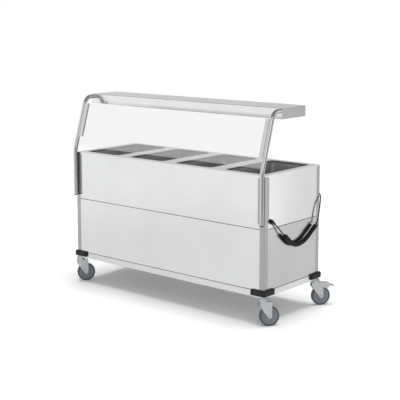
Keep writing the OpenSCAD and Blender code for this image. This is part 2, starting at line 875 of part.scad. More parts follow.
// The crown is the fork's level top, above the wheel
crown_drop = 24;
crown_t = 4;
crown_high = frame_low - crown_drop;
crown_low = crown_high - crown_t;
nut_h = 5;
leg_in = tyre_w / 2 + 3;
leg_out = leg_in + fork_t;
shoulder_x = -head_r;
shoulder_z = crown_low - 18;
stud_slack = 1;

module at_caster(i, j) {
    translate([i * stud_x, j * stud_y, 0]) rotate([0, 0, caster_turn]) children();
}

// A cylinder across the wheel, from one side to the other
module across(x, z, half, r) {
    translate([x, half, z]) rotate([90, 0, 0]) cylinder(h = 2 * half, r = r);
}

module caster_mounts() {
    nut_low = crown_low - head_gap - nut_h;
    for (i = [-1, 1]) {
        for (j = [-1, 1]) {
            color(zinc) at_caster(i, j) {
                translate([0, 0, frame_low - flange_t]) cylinder(h = flange_t, r = head_r);
                translate([0, 0, frame_low - 1])
                    cylinder(h = frame_tube - frame_wall - stud_slack, r = stud_r);
                translate([0, 0, race_low]) cylinder(h = race_t + 1, r = head_r - 4);
                translate([0, 0, nut_low]) cylinder(h = race_low - nut_low + 1, r = king_r);
                translate([0, 0, nut_low]) cylinder(h = nut_h, r = king_r + 4, $fn = 6);
            }
        }
    }
}

// Point where the line from p touches the circle of radius r about c, on the lower side
function touch(p, c, r) =
    let (d = p - c, a = atan2(d[1], d[0]) + acos(r / norm(d)))
    c + r * [cos(a), sin(a)];

module leg_section() {
    hub = [trail, wheel_r];
    shoulder = [shoulder_x, shoulder_z];
    polygon([
        [shoulder_x, crown_high], [trail + leg_tip_r, crown_high], [trail + leg_tip_r, wheel_r], hub,
        touch(shoulder, hub, leg_tip_r), shoulder
    ]);
    translate(hub) circle(r = leg_tip_r);
}

pedal_pin_x = 30;
pedal_pin_z = crown_low - 11;
bolt_slack = 0.05;
bolt_head = 5;

// The fork's pressing and, as solids of their own, its axle bolt and the pin of a brake pedal
module fork(i, j, braked) {
    color(zinc) at_caster(i, j) {
        difference() {
            union() {
                translate([0, 0, crown_high + 4])
                    cylinder(h = race_low - head_gap - crown_high - 4, r = head_r);
                translate([0, 0, crown_low]) cylinder(h = crown_t + 5, r = head_r - 4);
                block([shoulder_x, -leg_out, crown_low], [trail + leg_tip_r, leg_out, crown_high]);
                for (side = [-1, 1]) {
                    translate([0, side * (leg_in + fork_t / 2) + fork_t / 2, 0]) rotate([90, 0, 0])
                        linear_extrude(fork_t) leg_section();
                }
            }
            translate([0, 0, crown_low - 1]) cylinder(h = race_low, r = king_r + run_gap);
            across(trail, wheel_r, leg_out + 1, axle_r + bolt_slack);
            if (braked) {
                across(pedal_pin_x, pedal_pin_z, leg_out + 1, pedal_pin_r + bolt_slack);
            }
        }
        across(trail, wheel_r, leg_out + bolt_head, axle_r);
        for (side = [-1, 1]) {
            translate([trail, side * leg_out, wheel_r]) rotate([-90 * side, 0, 0])
                cylinder(h = bolt_head, r = axle_r + 3.5, $fn = 6);
        }
        if (braked) {
            across(pedal_pin_x, pedal_pin_z, leg_out + 1, pedal_pin_r);
        }
    }
}

rim_r = wheel_r - tyre_t;
hub_half = leg_in - wheel_play;
bush_r = axle_r + run_gap;
rim_slack = 0.1;

module around_axle(i, j) {
    at_caster(i, j) translate([trail, 0, wheel_r]) rotate([90, 0, 0]) rotate_extrude($fn = 72) children();
}

// Hub, dished web and rim, as a section from the axle outwards
module wheel_core(i, j) {
    rim_half = tyre_w / 2 - 1;
    color(core_grey) around_axle(i, j) polygon([
        [bush_r, -hub_half], [14, -hub_half], [17, -5], [rim_r - 9, -4], [rim_r - 6, -rim_half],
        [rim_r, -rim_half], [rim_r, rim_half], [rim_r - 6, rim_half], [rim_r - 9, 4], [17, 5],
        [14, hub_half], [bush_r, hub_half]
    ]);
}

module tyre(i, j) {
    inner = rim_r + rim_slack;
    thick = wheel_r - inner;
    color(rubber) around_axle(i, j) {
        translate([inner, -tyre_w / 2 + 1]) square([thick / 2, tyre_w - 2]);
        translate([inner + thick / 2, 0]) round_rect(thick, tyre_w, 5);
    }
}

pedal_half = leg_in - 0.5;
skirt_t = 1.5;
tread_half = 22;
// Gap between the released brake shoe and the tyre
shoe_gap = 4;

// Stamped brake pedal: plate, skirts beside the tyre, brake shoe, hinge eye and the tread at its end
module brake_pedal(i, j) {
    tip = pedal_reach;
    color(zinc) at_caster(i, j) difference() {
        union() {
            translate([0, pedal_half, 0]) rotate([90, 0, 0]) linear_extrude(2 * pedal_half) polygon([
                [26, crown_low - 4], [26, crown_low - 1], [52, crown_low - 1], [58, crown_low + 3],
                [88, crown_low + 1], [tip - 33, crown_low - 15], [tip - 37, crown_low - 18],
                [84, crown_low - 2], [59, crown_low], [53, crown_low - 4]
            ]);
            translate([0, tread_half, 0]) rotate([90, 0, 0]) linear_extrude(2 * tread_half) polygon([
                [tip - 37, crown_low - 18], [tip - 35, crown_low - 13], [tip - 3, crown_low - 20],
                [tip, crown_low - 24], [tip - 1, crown_low - 27], [tip - 5, crown_low - 23]
            ]);
            for (side = [-1, 1]) {
                translate([0, side * (pedal_half - skirt_t / 2) + skirt_t / 2, 0]) rotate([90, 0, 0])
                    linear_extrude(skirt_t) polygon([
                        [52, crown_low - 3], [59, crown_low + 1], [86, crown_low], [tip - 36, crown_low - 16],
                        [tip - 41, crown_low - 34], [56, crown_low - 34]
                    ]);
            }
            block([pedal_pin_x, -12, wheel_d + shoe_gap], [46, 12, crown_low - 2]);
            across(pedal_pin_x, pedal_pin_z, pedal_half, pedal_pin_r + 3);
        }
        across(pedal_pin_x, pedal_pin_z, pedal_half + 1, pedal_pin_r + run_gap);
    }
}

counter_top();
well(0);  // well_1
well(1);  // well_2
well(2);  // well_3
well(3);  // well_4
well_heaters();
thermostats();
front_panel(upper_z, upper_folds);  // front_panel_upper
front_panel(lower_z, lower_folds);  // front_panel_lower
end_panel(-1, upper_z, upper_folds);  // left_panel_upper
end_panel(-1, lower_z, lower_folds);  // left_panel_lower
right_panel_upper();
end_panel(1, lower_z, lower_folds);  // right_panel_lower
control_panel();
heater_tray();
corner_posts();
base_frame();
base_deck();
bumper(-1, -1);  // bumper_fl
bumper(1, -1);  // bumper_fr
bumper(-1, 1);  // bumper_rl
bumper(1, 1);  // bumper_rr
guard_arm(-1);  // guard_arm_left
guard_arm(1);  // guard_arm_right
tube_end_plugs();
arm_brackets();
guard_glass();
glass_clamps();
bridge_shell();
bridge_end_caps();
heat_lamps();
lamp_cover();
knob(0);  // knob_1
knob(1);  // knob_2
knob(2);  // knob_3
knob(3);  // knob_4
pilot_lamps();
switch_bezel();
lamp_switch();
cord_gland();
cord_leads();
cord_coil();
plug();
plug_holder();
caster_mounts();
fork(-1, -1, false);  // fork_fl
fork(1, -1, false);  // fork_fr
fork(-1, 1, true);  // fork_rl
fork(1, 1, true);  // fork_rr
wheel_core(-1, -1);  // wheel_core_fl
wheel_core(1, -1);  // wheel_core_fr
wheel_core(-1, 1);  // wheel_core_rl
wheel_core(1, 1);  // wheel_core_rr
tyre(-1, -1);  // tyre_fl
tyre(1, -1);  // tyre_fr
tyre(-1, 1);  // tyre_rl
tyre(1, 1);  // tyre_rr
brake_pedal(-1, 1);  // brake_pedal_rl
brake_pedal(1, 1);  // brake_pedal_rr
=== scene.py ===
# Heated serving trolley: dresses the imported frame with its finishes, its mains cord and its small fittings.
# Metres, +Z up, +X along the counter to the end with the cord, -Y towards the guests.
import math

import bmesh
import bpy
from mathutils import Matrix, Vector


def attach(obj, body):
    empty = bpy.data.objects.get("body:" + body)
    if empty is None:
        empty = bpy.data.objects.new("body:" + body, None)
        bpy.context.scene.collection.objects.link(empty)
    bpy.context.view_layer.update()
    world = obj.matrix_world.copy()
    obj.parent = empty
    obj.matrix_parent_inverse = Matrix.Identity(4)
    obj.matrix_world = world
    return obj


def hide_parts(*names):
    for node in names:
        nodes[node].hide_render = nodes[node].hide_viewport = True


bl_info = {
    "name": "Heated serving trolley",
    "version": (1, 1, 0),
    "blender": (4, 5, 0),
    "location": "View3D > Sidebar > Trolley",
    "description": "Dresses the frame of a heated serving trolley",
    "category": "Object",
}

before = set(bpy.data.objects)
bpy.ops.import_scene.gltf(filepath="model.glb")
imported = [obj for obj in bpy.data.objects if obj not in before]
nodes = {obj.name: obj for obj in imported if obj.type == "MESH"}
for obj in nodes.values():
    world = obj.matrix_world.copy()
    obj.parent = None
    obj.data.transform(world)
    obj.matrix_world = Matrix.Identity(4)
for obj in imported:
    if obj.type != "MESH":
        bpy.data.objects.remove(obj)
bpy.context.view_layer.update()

MM = 0.001
# Distance in metres below which two vertices count as one
MERGE = 0.000001


def linear(code):
    """Linear colour of an sRGB hex value such as "d6d8da"."""
    parts = [int(code[i:i + 2], 16) / 255 for i in (0, 2, 4)]
    return tuple(c / 12.92 if c <= 0.04045 else ((c + 0.055) / 1.055) ** 2.4 for c in parts) + (1.0,)


def grey(value):
    """A grey of a linear brightness."""
    return (value, value, value, 1.0)


# Settings that a user would change


def colour(name, description, code):
    """A colour property with its default as an sRGB hex value."""
    return bpy.props.FloatVectorProperty(name=name, description=description, default=linear(code), size=4,
                                         min=0, max=1, subtype="COLOR")


def length(name, description, default):
    """A length property in metres."""
    return bpy.props.FloatProperty(name=name, description=description, default=default, unit="LENGTH",
                                   subtype="DISTANCE")


class FinishSettings(bpy.types.PropertyGroup):
    """Colours of the finishes"""

    steel: colour("Sheet", "Brushed stainless steel of panels, counter and bridge", "e4e5e5")
    # Painted shade: the tubes are the same stainless steel as the sheets, set darker so that they mirror
    # darker
    tube: colour("Tube", "Satin stainless steel of the guard's tubes", "c9cbcc")
    plating: colour("Plating", "Zinc plating of the casters", "c9cccf")
    rubber: colour("Rubber", "Corner bumpers, seals and cord", "1a1a1b")
    tyre: colour("Tyre", "Rubber of the wheels", "5b6064")
    core: colour("Wheel", "Plastic of the wheels' cores", "8c9297")
    rocker: colour("Rocker", "Switch of the heat lamps", "a01c16")
    lens: colour("Lens", "Pilot lamps", "e08a1c")


class CordSettings(bpy.types.PropertyGroup):
    """Sizes of the mains cord"""

    diameter: length("Cord", "Diameter of the cord", 0.008)
    curl_width: length("Curls", "Outer diameter of the curly part", 0.030)
    curls: bpy.props.IntProperty(name="Number", description="Full curls of the curly part", default=41)
    length: length("Length", "Length of the whole cord, uncurled", 3.29)


# Shader helpers


def add(tree, kind, settings=None, inputs=None):
    """Adds one shader node; an input that is a socket is linked, and any other is set."""
    node = tree.nodes.new("ShaderNode" + kind)
    for key, value in (settings or {}).items():
        setattr(node, key, value)
    for key, value in (inputs or {}).items():
        if isinstance(value, bpy.types.NodeSocket):
            tree.links.new(value, node.inputs[key])
        else:
            node.inputs[key].default_value = value
    return node


def new_material(name):
    """An empty material with a Principled shader; returns it, its tree and the shader."""
    material = bpy.data.materials.new(name)
    material.use_nodes = True
    tree = material.node_tree
    tree.nodes.clear()
    shader = add(tree, "BsdfPrincipled")
    add(tree, "OutputMaterial", inputs={"Surface": shader.outputs["BSDF"]})
    return material, tree, shader


def pattern(tree, scale, detail=3.0, roughness=0.5):
    """Noise over the object's own coordinates, with features 1/scale metres long along each axis."""
    place = add(tree, "TexCoord")
    stretched = add(tree, "Mapping", inputs={"Vector": place.outputs["Object"], "Scale": scale})
    return add(tree, "TexNoise", inputs={"Vector": stretched.outputs["Vector"], "Scale": 1.0,
                                         "Detail": detail, "Roughness": roughness}).outputs["Fac"]


def spread(tree, value, low, high):
    """Maps a noise, which stays between 0.3 and 0.7, to low..high."""
    return add(tree, "MapRange", inputs={"Value": value, "From Min": 0.3, "From Max": 0.7,
                                         "To Min": low, "To Max": high}).outputs["Result"]


def shade(tree, value, tone, share, swing):
    """A share of a colour, which a noise makes up to swing darker or lighter."""
    dark, light = ([min(1.0, c * share * part) for c in tone[:3]] + [1.0] for part in (1 - swing, 1 + swing))
    return add(tree, "Mix", {"data_type": "RGBA"},
               {"Factor": spread(tree, value, 0, 1), "A": dark, "B": light}).outputs["Result"]


def relief(tree, shader, height, depth_mm, strength):
    """Bumps the surface by depth_mm at full height."""
    bump = add(tree, "Bump", inputs={"Height": height, "Distance": depth_mm * MM, "Strength": strength})
    tree.links.new(bump.outputs["Normal"], shader.inputs["Normal"])


# Finishes. Each starts from the real material and from how its surface was made

# Grinding marks are about 0.1 mm wide. They are drawn 1 mm wide, since finer ones would not show
FINE = 1000.0
LONG = 5.0
# Grain of a sheet: marks level on every upright sheet, marks along X on a flat one, upright marks, and none
LEVEL = (LONG, LONG, FINE)
ALONG = (LONG, FINE, FINE)
UPRIGHT = (FINE, FINE, LONG)
DRAWN = (40, 40, 40)


def stainless(name, tone, share, grain, rough):
    """AISI 304 sheet. The belt leaves fine parallel scratches, which blur reflections across them."""
    material, tree, shader = new_material(name)
    lines = pattern(tree, grain, 4.0, 0.6)
    cloud = pattern(tree, (2.5, 2.5, 2.5), 2.0)
    tree.links.new(shade(tree, cloud, tone, share, 0.03), shader.inputs["Base Color"])
    tree.links.new(spread(tree, lines, rough - 0.03, rough + 0.05), shader.inputs["Roughness"])
    shader.inputs["Metallic"].default_value = 1.0
    relief(tree, shader, lines, 0.03, 0.3)
    return material


def polished_tube(tone):
    """Stainless tube, ground and then satin polished, with faint rings left by the polishing belt."""
    material, tree, shader = new_material("satin_stainless_tube")
    rings = pattern(tree, (60, 60, 400), 3.0)
    tree.links.new(shade(tree, rings, tone, 1.0, 0.04), shader.inputs["Base Color"])
    tree.links.new(spread(tree, rings, 0.18, 0.22), shader.inputs["Roughness"])
    shader.inputs["Metallic"].default_value = 1.0
    relief(tree, shader, rings, 0.01, 0.05)
    return material


def zinc_plating(tone):
    """Pressed steel, electroplated with blue zinc: cold grey, slightly cloudy, half glossy."""
    material, tree, shader = new_material("blue_zinc_plating")
    cloud = pattern(tree, (90, 90, 90), 4.0)
    tree.links.new(shade(tree, cloud, tone, 1.0, 0.1), shader.inputs["Base Color"])
    tree.links.new(spread(tree, cloud, 0.28, 0.42), shader.inputs["Roughness"])
    shader.inputs["Metallic"].default_value = 0.85
    relief(tree, shader, cloud, 0.05, 0.15)
    return material


def float_glass(name, veil, tint):
    """Toughened float glass, clear, with the veil of light that its two faces mirror."""
    material, tree, shader = new_material(name)
    streaks = pattern(tree, (1.2, 8, 8), 1.0)
    tree.links.new(spread(tree, streaks, 0.03, 0.06), shader.inputs["Roughness"])
    shader.inputs["Base Color"].default_value = linear(tint)
    shader.inputs["Metallic"].default_value = 0.9
    shader.inputs["Alpha"].default_value = veil
    shader.inputs["IOR"].default_value = 1.52
    return material


def moulded(name, tone, rough, grit_mm, depth_mm, sheen=0.0, share=1.0):
    """Moulded or extruded polymer: an even colour, and the fine grit that the mould leaves on it."""
    material, tree, shader = new_material(name)
    grit = pattern(tree, (1 / (grit_mm * MM),) * 3, 2.0)
    tree.links.new(shade(tree, grit, tone, share, 0.16), shader.inputs["Base Color"])
    tree.links.new(spread(tree, grit, rough - 0.06, rough + 0.06), shader.inputs["Roughness"])
    shader.inputs["Sheen Weight"].default_value = sheen
    relief(tree, shader, grit, depth_mm, 0.3)
    return material


def clear_plastic(name, tone):
    """Polycarbonate, moulded clear and tinted: glossy, with a slight ripple."""
    material, tree, shader = new_material(name)
    ripple = pattern(tree, (700, 700, 700), 1.0)
    tree.links.new(spread(tree, ripple, 0.08, 0.16), shader.inputs["Roughness"])
    shader.inputs["Base Color"].default_value = tone
    shader.inputs["Coat Weight"].default_value = 0.6
    relief(tree, shader, ripple, 0.03, 0.2)
    return material


def cast_metal(name, code, rough):
    """Die-cast aluminium, left as cast: grainy and dull."""
    material, tree, shader = new_material(name)
    grain = pattern(tree, (260, 260, 260), 4.0)
    tree.links.new(shade(tree, grain, linear(code), 1.0, 0.12), shader.inputs["Base Color"])
    shader.inputs["Metallic"].default_value = 1.0
    shader.inputs["Roughness"].default_value = rough
    relief(tree, shader, grain, 0.1, 0.4)
    return material


# Sheets: material's name, share of the sheet's colour, direction of the marks, roughness. A share below 1 on
# the lower end panels, the bridge's end caps, the corner posts and the arm brackets is painted shade: the
# same steel, darkened where it shows shade
SHEETS = {
    "panel": ("brushed_stainless_panel", 1.0, LEVEL, 0.17),
    "end_panel": ("brushed_stainless_end", 1.0, LEVEL, 0.16),
    # Painted shade: the lower end panels are the same steel as the upper ones, darkened
    "end_low": ("brushed_stainless_shaded_end_low", 0.74, LEVEL, 0.2),
    # Painted shade: the bridge's end caps are the same steel as its shell, darkened
    "cap": ("brushed_stainless_shaded_cap", 0.62, LEVEL, 0.2),
    "counter": ("brushed_stainless_counter", 1.0, ALONG, 0.16),
    # Painted shade: the corner posts are the same steel as the panels, darkened
    "post": ("brushed_stainless_shaded_post", 0.55, UPRIGHT, 0.25),
    # Painted shade: the arm brackets are the same steel as the panels, darkened to half
    "bracket": ("brushed_stainless_shaded_bracket", 0.5, UPRIGHT, 0.14),
    "frame": ("brushed_stainless_frame", 0.97, LEVEL, 0.25),
    "clamp": ("brushed_stainless_clamp", 1.0, UPRIGHT, 0.5),
    "well": ("drawn_stainless_well", 1.0, DRAWN, 0.32),
}

# Veil and tint of the glass
GLASS = (0.2, "e5e7e6")

FINISHES = {
    "tube": lambda look: polished_tube(look.tube),
    "zinc": lambda look: zinc_plating(look.plating),
    "pane": lambda look: float_glass("toughened_float_glass", *GLASS),
    "lamp_glass": lambda look: float_glass("toughened_cover_glass", *GLASS),
    "bumper": lambda look: moulded("black_epdm_rubber", look.rubber, 0.6, 2.0, 0.1, share=0.6),
    "cord": lambda look: moulded("black_polyurethane_jacket", look.rubber, 0.4, 3.0, 0.03, share=0.4),
    "plastic": lambda look: moulded("black_abs", look.rubber, 0.36, 1.5, 0.04, share=0.85),
    "rocker": lambda look: moulded("red_abs", look.rocker, 0.28, 1.5, 0.02),
    "core": lambda look: moulded("grey_polypropylene", look.core, 0.46, 2.5, 0.05),
    "tyre": lambda look: moulded("grey_thermoplastic_rubber", look.tyre, 0.6, 2.0, 0.08, 0.1),
    "ink": lambda look: moulded("white_pad_print", linear("ececea"), 0.5, 1.0, 0.01),
    "black_ink": lambda look: moulded("black_pad_print", linear("202021"), 0.55, 1.0, 0.01),
    "pilot": lambda look: clear_plastic("amber_polycarbonate", look.lens),
    "quartz": lambda look: moulded("ceramic_and_quartz", linear("dfdbd3"), 0.35, 2.0, 0.03),
    "heater": lambda look: cast_metal("cast_aluminium", "868889", 0.5),
}

CORNERS = ("fl", "fr", "rl", "rr")
REAR_CORNERS = ("rl", "rr")


def numbered(name, ends):
    """The names that start with one name and end with each of several."""
    return ["%s_%s" % (name, end) for end in ends]


WEARS = {
    "panel": ["front_panel_upper", "front_panel_lower", "control_panel", "bridge_shell"],
    "end_panel": ["left_panel_upper", "right_panel_upper"],
    "end_low": ["left_panel_lower", "right_panel_lower"],
    "cap": ["bridge_end_caps"],
    "counter": ["counter_top", "base_deck"],
    "post": ["corner_posts"],
    "bracket": ["arm_brackets"],
    "frame": ["base_frame", "heater_tray"],
    "clamp": ["glass_clamps"],
    "well": numbered("well", "1234"),
    "tube": ["guard_arm_left", "guard_arm_right"],
    "zinc": ["caster_mounts"] + numbered("fork", CORNERS) + numbered("brake_pedal", REAR_CORNERS),
    "pane": ["guard_glass"],
    "lamp_glass": ["lamp_cover"],
    "bumper": numbered("bumper", CORNERS),
    "plastic": numbered("knob", "1234") + ["switch_bezel", "cord_gland", "plug", "plug_holder", "thermostats",
                                           "tube_end_plugs"],
    "rocker": ["lamp_switch"],
    "core": numbered("wheel_core", CORNERS),
    "tyre": numbered("tyre", CORNERS),
    "pilot": ["pilot_lamps"],
    "quartz": ["heat_lamps"],
    "heater": ["well_heaters"],
}

made = {}


def finish(key):
    """The material of that key, made once."""
    look = bpy.context.scene.trolley_finish
    if key not in made:
        if key in SHEETS:
            name, share, grain, rough = SHEETS[key]
            made[key] = stainless(name, look.steel, share, grain, rough)
        else:
            made[key] = FINISHES[key](look)
    return made[key]


# Route of the mains cord, in mm from the body's corner, as the frame has it. The bow is a row of straights
# (length, 0) and of arcs (degrees, radius); its curls start and end with a ramp

CORNER = Vector((0.820, 0.300, 0))
LEAD = [(13, -508, 623), (13, -500, 617), (14, -488, 607), (15, -476, 596), (17, -465, 584), (19, -454, 572),
        (21, -445, 562), (22, -437, 554)]
TAIL = [(22, -48, 591), (22, -43, 608), (22, -38, 626), (21, -33, 644), (20, -27, 662), (18, -21, 680),
        (15, -13, 697), (11, -5, 712), (5, 3, 724), (-3, 10, 733), (-14, 15, 741), (-26, 18, 747),
        (-38, 19, 750), (-48, 19, 750)]
BOW_HEADING = -39
BOW = [(101, 0), (39, 134), (32, 214), (105, 0), (43, 45), (8, 0)]
STRAIGHT_IN, RAMP_IN, RAMP_OUT = 8, 22, 34
CURL_STEPS = 24


def piece_length(piece):
    """Length in mm of one piece of the bow, a straight or an arc."""
    return math.radians(piece[0]) * piece[1] if piece[1] else piece[0]


def advance(state, piece, run):
    """State y, z, heading after a run along a piece of the bow."""
    y, z, heading = state
    if not piece[1]:
        return y + run * math.cos(heading), z + run * math.sin(heading), heading
    after = heading + run / piece[1]
    return (y + piece[1] * (math.sin(after) - math.sin(heading)),
            z + piece[1] * (math.cos(heading) - math.cos(after)), after)


def bow_at(run):
    """State of the bow's middle line after a run in mm from its start."""
    state = (LEAD[-1][1], LEAD[-1][2], math.radians(BOW_HEADING))
    for piece in BOW[:-1]:
        if run <= piece_length(piece):
            return advance(state, piece, run)
        state = advance(state, piece, piece_length(piece))
        run -= piece_length(piece)
    return advance(state, BOW[-1], run)


def eased(share):
    """Smooth step from 0 to 1."""
    share = min(1.0, max(0.0, share))
    return share * share * (3 - 2 * share)


def curly_points(settings):
    """Points of the curly part, in mm from the body's corner."""
    total = sum(piece_length(piece) for piece in BOW)
    start, stop = STRAIGHT_IN + RAMP_IN, total - STRAIGHT_IN - RAMP_OUT
    pitch = (stop - start) / settings.curls
    radius = (settings.curl_width - settings.diameter) / 2 / MM
    runs = [0.0]
    runs += [STRAIGHT_IN + RAMP_IN * k / CURL_STEPS for k in range(CURL_STEPS + 1)]
    runs += [start + pitch * k / CURL_STEPS for k in range(1, settings.curls * CURL_STEPS + 1)]
    runs += [stop + RAMP_OUT * k / CURL_STEPS for k in range(1, CURL_STEPS + 1)]
    runs += [total]
    points = []
    for run in runs:
        y, z, heading = bow_at(run)
        off = radius * min(eased((run - STRAIGHT_IN) / RAMP_IN),
                           eased((total - STRAIGHT_IN - run) / RAMP_OUT))
        if run < start:
            turns = max(0.0, run - STRAIGHT_IN) / RAMP_IN
        elif run < stop:
            turns = 1 + (run - start) / pitch
        else:
            turns = 1 + settings.curls + min(1.0, (run - stop) / RAMP_OUT)
        turn = 2 * math.pi * turns
        points.append(Vector((LEAD[-1][0] + off * math.cos(turn),
                              y - off * math.sin(turn) * math.sin(heading),
                              z + off * math.sin(turn) * math.cos(heading))))
    return points


def smooth_route(points, steps):
    """Catmull-Rom curve through the points, with steps per stretch."""
    route = []
    for k in range(len(points) - 1):
        a, b = points[max(0, k - 1)], points[k]
        c, d = points[k + 1], points[min(len(points) - 1, k + 2)]
        for i in range(steps):
            t = i / steps
            curving = 2 * a - 5 * b + 4 * c - d
            route.append(b + 0.5 * t * ((c - a) + t * (curving + t * (3 * (b - c) + d - a))))
    return route + [points[-1]]


# Places on the frame, in mm, as its source has them

HALF_LEN, HALF_DEPTH = 820, 300
# The guard's upright tubes and the heights of their screws
ARM_X, ARM_Y, ARM_R = 811, -316.8, 14
ARM_SCREW_ZS = (668, 825)
# Seam between the panels, and seam above the base frame: height, depth of the black strip that paints the
# gap's shade, its distance behind the face
SEAMS = ((600, 8, 0.9), (217.25, 1.2, 0.6))
SHADE_STRIP_LEN, SHADE_STRIP_WIDE = 1568, 528
KNOB_Z, PILOT_STEP, SWITCH_X = 655, 48, -735
WELL_XS = [(k - 1.5) * 413 for k in range(4)]
# Faces of the corner bumpers, and the distance of their screws from the corner
BUMPER_OUT, BUMPER_Z, BUMPER_SCREW_IN = 17, 204.5, 52
CASTERS = {"fl": (-806, -286), "fr": (806, -286), "rl": (-806, 286), "rr": (806, 286)}
CASTER_TURN, TRAIL, WHEEL_R = 52, 37, 62.5
# Start of the pedals' tread, ahead of the king pin, and how it slopes
TREAD_X, TREAD_Z, TREAD_SLOPE, TREAD_DEGREES = 96, 135.2, 7 / 32, 12.3
# Outlet of the cord: place of its nut; start, direction and length of its boot, its radius and how much of
# that it loses towards its end
OUTLET_Y, OUTLET_Z = -236, 644
BOOT_OUT, BOOT_DIR, BOOT_LEN, BOOT_R, BOOT_TAPER = 13, (0, 0.8, -0.6), 35, 8, 2.5
PLUG_X, PLUG_Z, PLUG_R = 722, 750, 22
# Start of the plug's neck, its radius there and how much wider it is at each next rib
NECK_X, NECK_Y, NECK_R, NECK_GROWTH = 765, 19, 6.6, 0.62

# Sections of the small fittings, (radius, height) in mm

OUTLET_NUT = [(11.2, 4.2), (13.6, 4.2), (14.2, 4.8), (14.2, 9), (13.6, 9.6), (11.2, 9.6)]
ARM_SCREW = [(0, -1.6), (2.2, -1.6), (2.4, -0.1), (5.2, -0.1), (6.2, -0.7), (6.2, -4), (0, -4)]
BUMPER_CAP = [(0, -1.4), (1.8, -1.4), (2, 0.1), (3.9, 0.1), (4.6, -0.5), (4.6, -3), (0, -3)]
WHEEL_DISC = [(14.6, 9), (17.6, 12.6), (20, 13), (22, 11.8), (24, 9.6), (33.5, 8.6), (34.2, 9.6),
              (35.4, 9.6), (36.1, 8.6), (39.5, 9.4), (41, 12.2), (43.2, 13.2), (43.2, 11.6),
              (41.6, 5.4), (18, 5.6), (14.6, 7)]
PILOT_RING = [(6.2, 0.1), (8.2, 0.1), (8.2, 0.7), (7.6, 1.5), (6.2, 1.5)]
# Crowned rings, in mm: how far they reach inside and outside the surface they sit on, and half their width
BOOT_RIB, GRIP_BAND, NECK_RIB = (0.4, 0.7, 1.1), (0.4, 0.4, 1.2), (0.6, 0.6, 1.0)
# How far the edges of the black seam strips and of their beads are rounded, in mm
SHADE_STRIP_EDGE, BEAD_EDGE = 0.5, 0.2
# Other blocks, in mm: their size, and how far their edges are rounded
DISC_RIB, TREAD_RIB, POINTER = ((11, 1.6, 1.6), 0.4), ((1.8, 38, 1.6), 0.5), ((1.6, 0.4, 13), 0.15)
# Rows of equal forms, in mm: distance of the first one, the step between them, and their number
BOOT_RIBS, GRIP_BANDS, NECK_RIBS, TREAD_RIBS = (13, 4.4, 5), (8.5, 5, 4), (0, 5.2, 4), (6, 5.6, 5)
# Ribs round a wheel's disc: their number, and the radius and height of their middles
DISC_RIBS, DISC_RIB_R, DISC_RIB_H = 10, 28.6, 9.5

# Prints on the control panel, in mm: height above the sheet, radii of the dials' marks and numbers, the
# dials' steps and the degrees between them, the marks with and without a number, the size of the font and
# half its thickness, and the height of the switch's signs above its middle
PRINT_OUT, MARK_R, NUMBER_R = 0.06, 28.5, 36.5
DIAL_STEPS, DIAL_DEGREES = 11, 30
BOLD_MARK, FINE_MARK = (1.2, 0.08, 4), (0.7, 0.08, 4)
GLYPH_SIZE, GLYPH_HALF = 7.7, 0.03
SIGNS = (("ON", 34), ("OFF", -34))
# Middle of a knob's pointer: in front of the panel, and above the knob's axis
POINTER_OUT, POINTER_UP = 22.1, 8


# Mesh helpers


def mesh_piece(name, key, body, shape, smooth=40):
    """Makes a piece from a bmesh, in the row's frame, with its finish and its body."""
    bmesh.ops.remove_doubles(shape, verts=shape.verts, dist=MERGE)
    bmesh.ops.recalc_face_normals(shape, faces=shape.faces)
    data = bpy.data.meshes.new(name)
    shape.to_mesh(data)
    shape.free()
    data.materials.append(finish(key))
    data.shade_smooth()
    data.set_sharp_from_angle(angle=math.radians(smooth))
    piece = bpy.data.objects.new(name, data)
    bpy.context.scene.collection.objects.link(piece)
    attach(piece, body)
    return piece


def turned(profile, segments=32):
    """A closed form spun about Z from (radius, height) pairs in mm."""
    part = bmesh.new()
    points = [part.verts.new((r * MM, 0, h * MM)) for r, h in profile]
    edges = [part.edges.new(pair) for pair in zip(points, points[1:])]
    bmesh.ops.spin(part, geom=points + edges, axis=(0, 0, 1), cent=(0, 0, 0), angle=2 * math.pi,
                   steps=segments, use_merge=True)
    bmesh.ops.remove_doubles(part, verts=part.verts, dist=MERGE)
    return part


def ring(profile, segments=32):
    """A ring spun about Z from a section of (radius, height) pairs in mm."""
    return turned(profile + profile[:1], segments)


def slab(size, edge=0.0):
    """A block of a size in mm about the origin, with its edges rounded by edge mm."""
    part = bmesh.new()
    bmesh.ops.create_cube(part, size=MM)
    bmesh.ops.scale(part, vec=size, verts=part.verts)
    if edge:
        bmesh.ops.bevel(part, geom=part.edges, offset=edge * MM, affect="EDGES", segments=2, profile=0.5,
                        material=-1)
    return part


def crowned(r, inside, outside, half):
    """Section in mm of a ring from r - inside to r + outside, 2 * half wide, with a crown of 0.3 outside."""
    crown = 0.3
    return [(r - inside, -half), (r + outside, crown - half), (r + outside + crown, 0),
            (r + outside, half - crown), (r - inside, half)]


def put(shape, part, place):
    """Adds a part to a shape, at a place given as a matrix, and frees the part."""
    bmesh.ops.transform(part, matrix=place, verts=part.verts)
    data = bpy.data.meshes.new("part")
    part.to_mesh(data)
    part.free()
    shape.from_mesh(data)
    bpy.data.meshes.remove(data)


def at(x, y, z, turn="", degrees=0.0):
    """A place in mm, with a turn about one axis."""
    place = Matrix.Translation((x * MM, y * MM, z * MM))
    return place @ Matrix.Rotation(math.radians(degrees), 4, turn) if turn else place


def row(first, step, number):
    """Distances of a row of equal forms."""
    return [first + step * k for k in range(number)]


